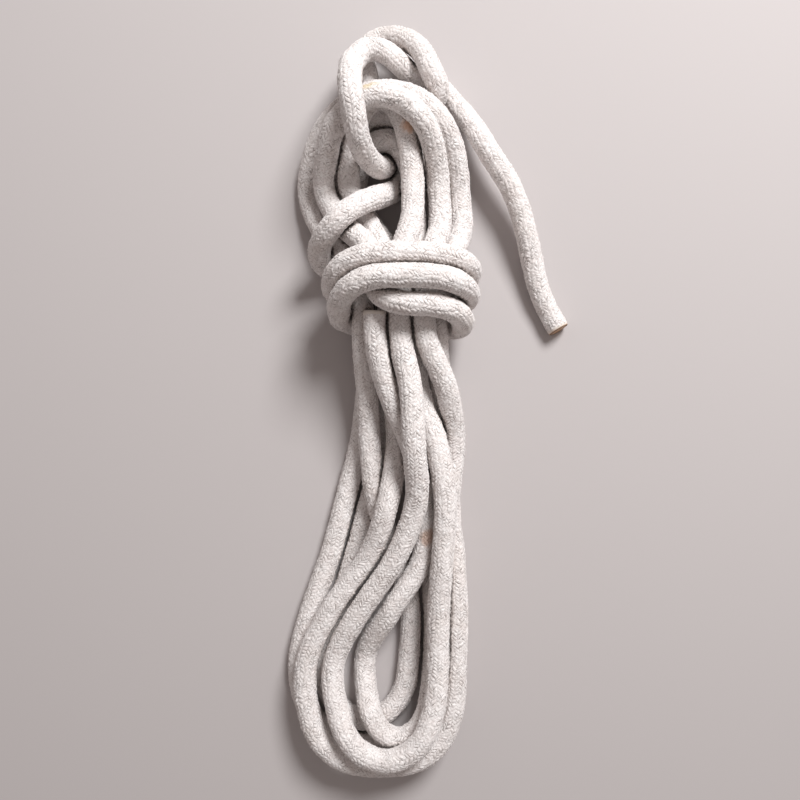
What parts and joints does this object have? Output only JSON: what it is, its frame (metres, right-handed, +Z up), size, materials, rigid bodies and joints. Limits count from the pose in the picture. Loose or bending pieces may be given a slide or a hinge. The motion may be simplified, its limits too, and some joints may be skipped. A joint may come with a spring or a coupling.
{
  "type": "hanked rope",
  "caption": "Soft braided rope tied up in a hank: long loops drawn in at a wrapped waist, a hitch through the head and a free tail.",
  "frame": {"origin": "centre of the hank's bounding box, on the surface it lies on", "axes": "+Y along the hank towards its head, +Z up from the surface, +X to the side where the free tail lies"},
  "size_m": [0.1302, 0.3418, 0.0547],
  "materials": {
    "sheath": "soft off-white braided yarn, fuzzy and matt",
    "core": "white parallel core yarns",
    "end_seal": "yarn ends fused together in the hot cut, tan to brown"
  },
  "bodies": {
    "root": {"hank_loops": "sheath", "waist_wraps": "sheath", "head_hitch": "sheath", "tail_sheath": "sheath", "tail_core": "core", "tail_seal": "end_seal", "inner_seal": "end_seal"}
  },
  "joints": []
}
